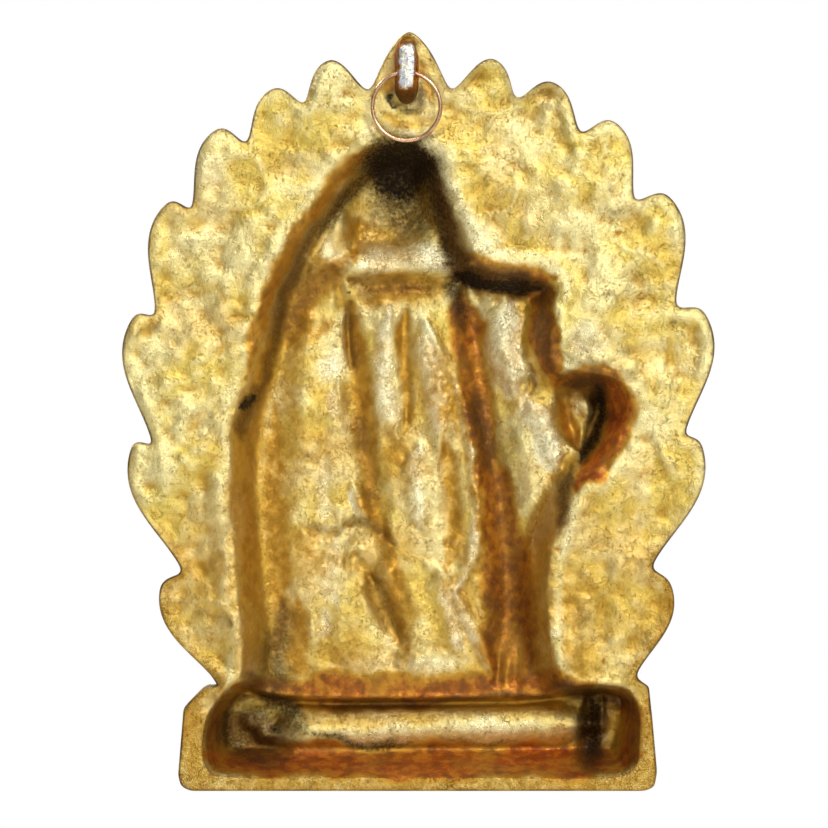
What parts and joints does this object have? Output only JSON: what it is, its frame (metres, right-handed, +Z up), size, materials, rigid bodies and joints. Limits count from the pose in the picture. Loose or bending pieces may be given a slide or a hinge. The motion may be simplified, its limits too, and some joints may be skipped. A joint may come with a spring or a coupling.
{
  "type": "cast relief wall plaque",
  "caption": "Gold-lacquered cast aluminium wall plaque: a leaf-edged plate with a robed figure in relief on a plinth, hollow behind, with a hanging lug and ring.",
  "frame": {"origin": "middle of the eye in the hanging lug, on the eye's axis", "axes": "+Z up as it hangs, the relief faces -Y, the wall is at +Y, +X is the right-hand side when facing the relief and runs along the eye"},
  "size_m": [0.2064, 0.0417, 0.2647],
  "materials": {
    "gold_lacquer": "cast aluminium under a worn gold lacquer, amber and dark brown in the hollows",
    "ring_wire": "drawn copper-coloured wire, lightly tarnished"
  },
  "bodies": {
    "plaque": {"plaque_casting": "gold_lacquer"},
    "ring": {"hanging_ring": "ring_wire"}
  },
  "joints": [
    {"name": "ring_swing", "type": "hinge", "parent": "plaque", "child": "ring", "pos_m": [0, 0, 0], "axis": [1, 0, 0], "range_deg": [-9, 189]}
  ]
}
